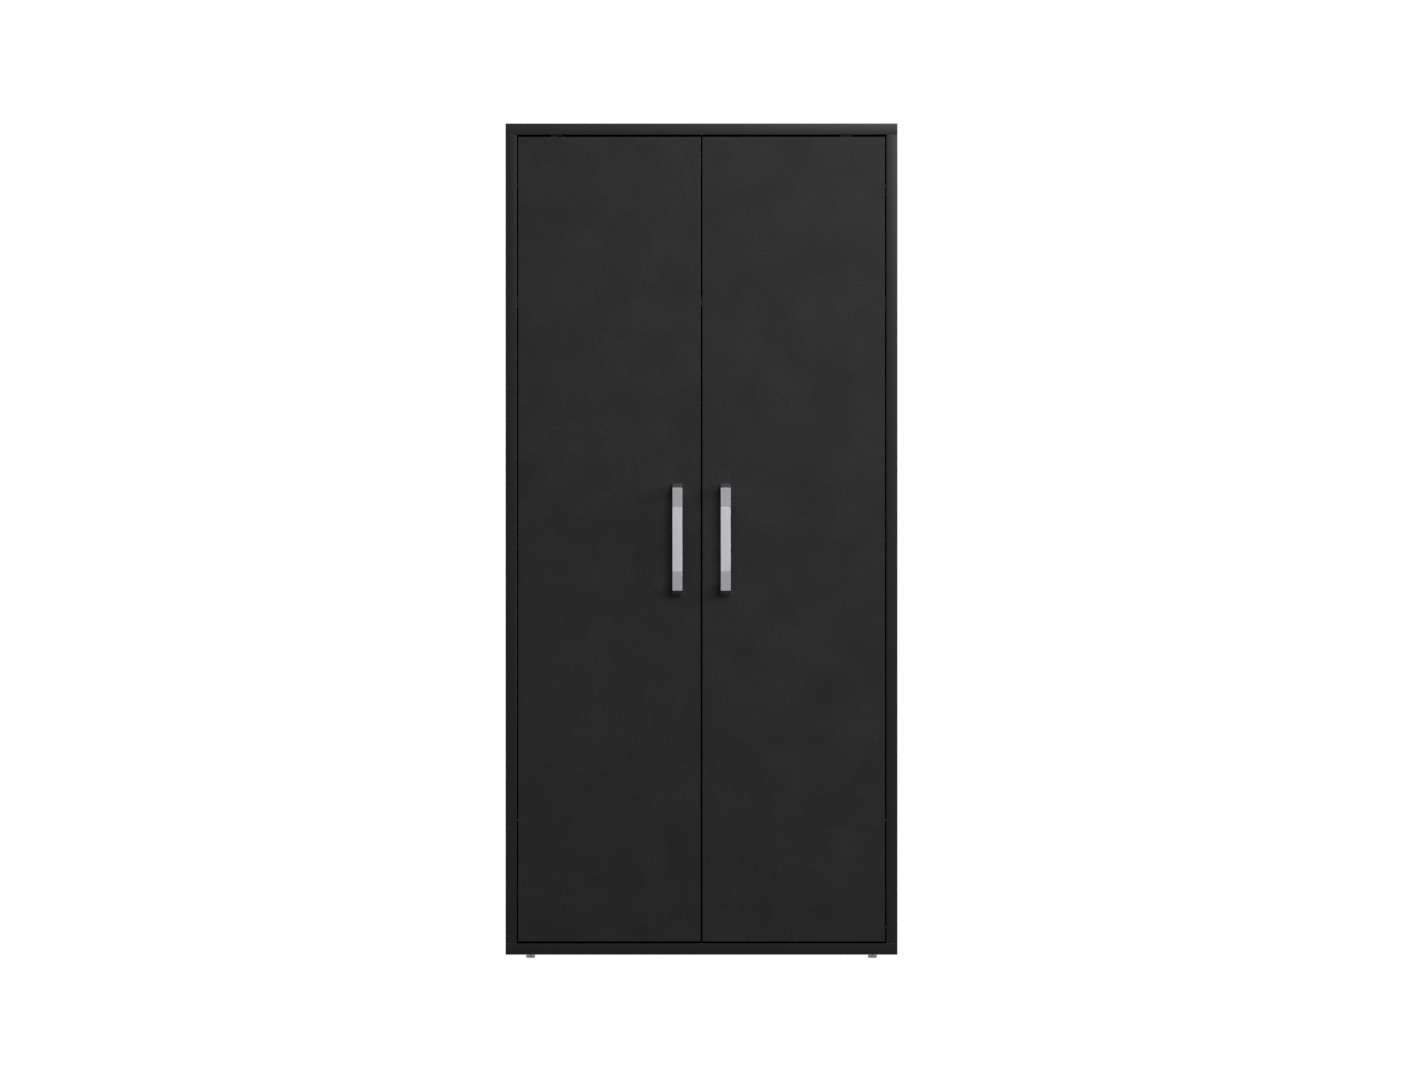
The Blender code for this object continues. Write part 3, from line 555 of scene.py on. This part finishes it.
def cross_recess(obj, width, length, depth, top):
    """Sinks a cross-shaped drive into the top of a small part."""
    for turn in (0, 90):
        bpy.ops.mesh.primitive_cube_add(size=1, location=(0, 0, top))
        arm = bpy.context.object
        arm.data.transform(Matrix.LocRotScale(None, Matrix.Rotation(math.radians(turn), 3, "Z"),
                                              None) @ Matrix.Diagonal((length, width, 2 * depth, 1)))
        cut = obj.modifiers.new("drive", "BOOLEAN")
        cut.object = arm
        cut.solver = "EXACT"
        only(obj)
        bpy.ops.object.modifier_apply(modifier=cut.name)
        bpy.data.objects.remove(arm)


def screw_master():
    """A raised countersunk screw head with a cross drive. Its crown rises in two steps."""
    bpy.ops.mesh.primitive_cylinder_add(vertices=32, radius=SCREW_RADIUS, depth=2 * SCREW_PROUD)
    obj = bpy.context.object
    obj.name = "screw_master"
    edit(obj)
    pick(obj, lambda f: f.normal.z > 0.9)
    for rise in SCREW_RISES:
        bpy.ops.mesh.inset(thickness=SCREW_STEP, depth=rise)
    done()
    cross_recess(obj, *SCREW_DRIVE, SCREW_DRIVE_DEPTH, SCREW_PROUD + sum(SCREW_RISES))
    painted(obj, ZINC)
    smooth(obj, 30)
    return obj


def cam_master():
    """The visible end of a cam lock: a rimmed disc with a cross drive."""
    bpy.ops.mesh.primitive_cylinder_add(vertices=ROUND_SIDES, radius=CAM_RADIUS, depth=2 * CAM_PROUD)
    obj = bpy.context.object
    obj.name = "cam_master"
    edit(obj)
    pick(obj, lambda f: f.normal.z > 0.9)
    bpy.ops.mesh.inset(thickness=CAM_RIM, depth=0)
    bpy.ops.mesh.inset(thickness=CAM_SLOPE, depth=-CAM_SUNK)
    done()
    cross_recess(obj, *CAM_DRIVE, CAM_SUNK, CAM_PROUD - CAM_SUNK)
    painted(obj, ZINC)
    smooth(obj, 30)
    return obj


def inset_ends(low, high, inset):
    """Names and places at the same distance from the two ends of a span."""
    return (("low", low + inset), ("high", high - inset))


def hinge_screws(screw):
    """Two screws for each cup, two for each mounting plate, and two in each arm."""
    for side, sign in SIDES.items():
        inwards = facing((-sign, 0, 0))
        for level in LEVELS:
            name = f"{side}_{level}_hinge"
            low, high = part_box(f"{name}_cup")
            x = (low.x + high.x) / 2 - sign * WING_INSET
            for end, z in inset_ends(low.z, high.z, WING_INSET):
                place = (x, high.y - SCREW_SUNK, z)
                repeated(screw, f"{name}_cup_screw_{end}", place, f"{side}_door", facing((0, 1, 0)))
            low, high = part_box(f"{name}_plate")
            y = (low.y + high.y) / 2
            for end, z in inset_ends(low.z, high.z, WING_INSET):
                place = (sign * (INNER_X - PLATE_FACE), y, z)
                repeated(screw, f"{name}_plate_screw_{end}", place, "root", inwards)
            low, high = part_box(f"{name}_arm")
            z = (low.z + high.z) / 2
            for end, from_rear in ARM_SCREWS.items():
                place = (sign * (INNER_X - ARM_FACE), high.y - from_rear, z)
                repeated(screw, f"{name}_arm_screw_{end}", place, "root", inwards, ARM_SCREW_SIZE)


def fitting_screws(screw):
    """Screws of the handles, rail sockets and wall brackets."""
    for side, sign in SIDES.items():
        for end in ("upper", "lower"):
            low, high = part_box(f"{side}_handle_{end}_end")
            z = high.z - HANDLE_SCREW_INSET if end == "upper" else low.z + HANDLE_SCREW_INSET
            repeated(screw, f"{side}_handle_{end}_screw", ((low.x + high.x) / 2, DOOR_BACK, z),
                     f"{side}_door", facing((0, 1, 0)), HANDLE_SCREW_SIZE)
        low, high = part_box(f"rail_socket_{side}")
        for end, z in inset_ends(low.z, high.z, SOCKET_SCREW_INSET):
            place = (sign * (INNER_X - SOCKET_FACE), (low.y + high.y) / 2, z)
            repeated(screw, f"rail_socket_{side}_screw_{end}", place, "root",
                     facing((-sign, 0, 0)), SOCKET_SCREW_SIZE)
        low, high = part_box(f"wall_bracket_{side}")
        x, y, z = (low + high) / 2
        repeated(screw, f"wall_bracket_{side}_panel_screw", (x, y, high.z - BRACKET_PLATE), "root",
                 facing((0, 0, -1)))
        repeated(screw, f"wall_bracket_{side}_wall_screw", (x, high.y - BRACKET_PLATE, z), "root",
                 facing((0, -1, 0)))


def make_cams(cam):
    """Cam locks that draw the boards together: three at each end of each side panel, and two
    at each end of the hat shelf, on its underside."""
    rows = {"front": FRONT + CAM_FROM_EDGE, "middle": (FRONT + BACK) / 2,
            "rear": BACK_FACE - CAM_FROM_EDGE}
    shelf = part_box("hat_shelf")
    for side, sign in SIDES.items():
        for row, y in rows.items():
            for end, z in (("low", FLOOR + CAM_FROM_END), ("high", CEILING - CAM_FROM_END)):
                repeated(cam, f"cam_{side}_{end}_{row}", (sign * INNER_X, y, z), "root",
                         facing((-sign, 0, 0)))
        for row in ("front", "rear"):
            y = shelf[0].y + CAM_FROM_EDGE if row == "front" else shelf[1].y - CAM_FROM_EDGE
            place = (sign * (INNER_X - CAM_FROM_END), y, shelf[0].z)
            repeated(cam, f"cam_{side}_shelf_{row}", place, "root", facing((0, 0, -1)))


# Fittings that keep their shape, with their edges eased

def ease_nose(obj, sign):
    """Slopes the front face of a mounting plate's base back from the side panel."""
    base_top = sign * (INNER_X - PLATE_FACE)
    front = {index for face in obj.data.polygons if face.normal.y < -0.9 for index in face.vertices}
    for index in front:
        v = obj.data.vertices[index]
        if abs(v.co.x - base_top) < SOFT_EDGE:
            v.co.y += NOSE_SLOPE


def make_hinges():
    for side, sign in SIDES.items():
        for level in LEVELS:
            for part, material, slot_name in (
                ("cup", NICKEL, "nickel"), ("arm", NICKEL, "nickel"), ("plate", NICKEL, "nickel"),
                ("outer_link", ZINC, "link_steel"), ("inner_link", ZINC, "link_steel"),
            ):
                node = f"{side}_{level}_hinge_{part}"
                obj = copied(node, f"{side}_{level}_{part}_pressing")
                if part == "plate":
                    ease_nose(obj, sign)
                bevel(obj, SOFT_EDGE, 2)
                painted(obj, material)


def make_interior_fittings():
    names = [f"rail_socket_{side}" for side in SIDES] + [f"wall_bracket_{side}" for side in SIDES]
    names += [f"shelf_pin_{end}_{side}" for side in SIDES for end in ("front", "rear")]
    for node in names:
        obj = copied(node, f"{node}_plated")
        bevel(obj, SOFT_EDGE, 2)
        painted(obj, NICKEL)


def make_rail():
    """An oval steel tube: a round one drawn out upwards and downwards, then hollowed."""
    low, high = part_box("hanging_rail")
    centre, size = (low + high) / 2, high - low
    bpy.ops.mesh.primitive_cylinder_add(vertices=ROUND_SIDES, radius=size.y / 2, depth=size.x)
    obj = bpy.context.object
    obj.name = "rail_tube"
    half_step = Matrix.Rotation(math.pi / ROUND_SIDES, 4, "Z")
    obj.data.transform(Matrix.Rotation(math.radians(90), 4, "Y") @ half_step)
    stretch = (size.z - size.y) / 2
    for v in obj.data.vertices:
        v.co.z += math.copysign(stretch, v.co.z)
    edit(obj)
    pick(obj, lambda f: abs(f.normal.x) > 0.9)
    bpy.ops.mesh.inset(thickness=RAIL_WALL)
    bpy.ops.mesh.bridge_edge_loops()
    bpy.ops.mesh.select_all(action="SELECT")
    bpy.ops.mesh.normals_make_consistent(inside=False)
    done()
    obj.data.transform(Matrix.Translation(centre))
    painted(obj, NICKEL)
    smooth(obj)
    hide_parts("hanging_rail")
    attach(obj, "root")


def glide_master():
    """A nail-on glide: a pressed cap with a rolled lower edge, hollow above, round its nail."""
    low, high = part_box("foot_front_left")
    radius, height = (high.x - low.x) / 2, high.z - low.z
    cap = BOTTOM - low.z - GLIDE_GAP
    bpy.ops.mesh.primitive_cylinder_add(vertices=ROUND_SIDES, radius=radius, depth=cap,
                                        location=(0, 0, cap / 2))
    obj = bpy.context.object
    obj.data.transform(obj.matrix_world)
    obj.matrix_world = Matrix.Identity(4)
    edit(obj)
    bpy.ops.mesh.select_mode(type="EDGE")
    pick(obj, lambda e: all(v.co.z < MERGE for v in e.verts), "edges")
    bpy.ops.mesh.bevel(offset=GLIDE_EDGE, segments=6, affect="EDGES")
    bpy.ops.mesh.select_mode(type="FACE")
    pick(obj, lambda f: f.normal.z > 0.9)
    bpy.ops.mesh.inset(thickness=GLIDE_RIM)
    bpy.ops.mesh.inset(thickness=GLIDE_SLOPE, depth=-GLIDE_HOLLOW)
    bpy.ops.mesh.inset(thickness=radius - GLIDE_RIM - GLIDE_SLOPE - NAIL_RADIUS)
    bpy.ops.mesh.extrude_region_move(
        TRANSFORM_OT_translate={"value": (0, 0, height - cap + GLIDE_HOLLOW)})
    done()
    painted(obj, POLISHED)
    smooth(obj)
    return obj


def make_feet():
    glide = glide_master()
    for end in ("front", "rear"):
        for side in SIDES:
            node = f"foot_{end}_{side}"
            low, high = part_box(node)
            place = ((low.x + high.x) / 2, (low.y + high.y) / 2, low.z)
            obj = repeated(glide, f"glide_{end}_{side}", place, "root")
            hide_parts(node)
    bpy.data.objects.remove(glide)


def make_screws_and_cams():
    screw = screw_master()
    hinge_screws(screw)
    fitting_screws(screw)
    bpy.data.objects.remove(screw)
    cam = cam_master()
    make_cams(cam)
    bpy.data.objects.remove(cam)


# Studio

def softbox(name, place, aim, width, height, power):
    light = bpy.data.lights.new(name, "AREA")
    light.shape = "RECTANGLE"
    light.size, light.size_y = width, height
    light.energy = power
    obj = bpy.data.objects.new(name, light)
    obj.matrix_world = (Matrix.Translation(place)
                        @ (Vector(aim) - Vector(place)).to_track_quat("-Z", "Y").to_matrix().to_4x4())
    bpy.context.scene.collection.objects.link(obj)


def studio_surround():
    """Even soft light from all round, before a white backdrop."""
    world = bpy.data.worlds.new("studio")
    world.use_nodes = True
    world.node_tree.nodes.clear()
    surround = add(world, "Background", {"Color": (1, 1, 1, 1), "Strength": SURROUND})
    backdrop = add(world, "Background", {"Color": (1, 1, 1, 1)})
    seen = add(world, "LightPath", {})
    mix = add(world, "MixShader", {0: (seen, "Is Camera Ray"), 1: (surround, 0), 2: (backdrop, 0)})
    add(world, "OutputWorld", {"Surface": (mix, 0)})
    return world


def make_studio():
    bpy.ops.mesh.primitive_plane_add(size=FLOOR_SIZE, location=(0, 0, CAD_BOX[0].z))
    floor = bpy.context.object
    floor.name = "studio_floor"
    painted(floor, studio_floor())
    floor.visible_diffuse = floor.visible_glossy = False      # it lends the cabinet no light
    bpy.context.scene.world = studio_surround()
    bpy.context.scene.view_settings.view_transform = "Standard"
    for box in SOFTBOXES:
        softbox(*box)


def make_camera():
    """Straight on, at mid height, with parallel lines kept parallel."""
    camera = bpy.data.cameras.new("camera")
    camera.type = "ORTHO"
    camera.ortho_scale = FRAME_WIDTH
    obj = bpy.data.objects.new("camera", camera)
    obj.location = (0, -CAMERA_AWAY, EYE_HEIGHT)
    obj.rotation_euler = (math.radians(90), 0, 0)
    bpy.context.scene.collection.objects.link(obj)
    bpy.context.scene.camera = obj


make_boards()
make_back()
make_handles()
make_hinges()
make_interior_fittings()
make_rail()
make_feet()
make_screws_and_cams()
make_studio()
make_camera()
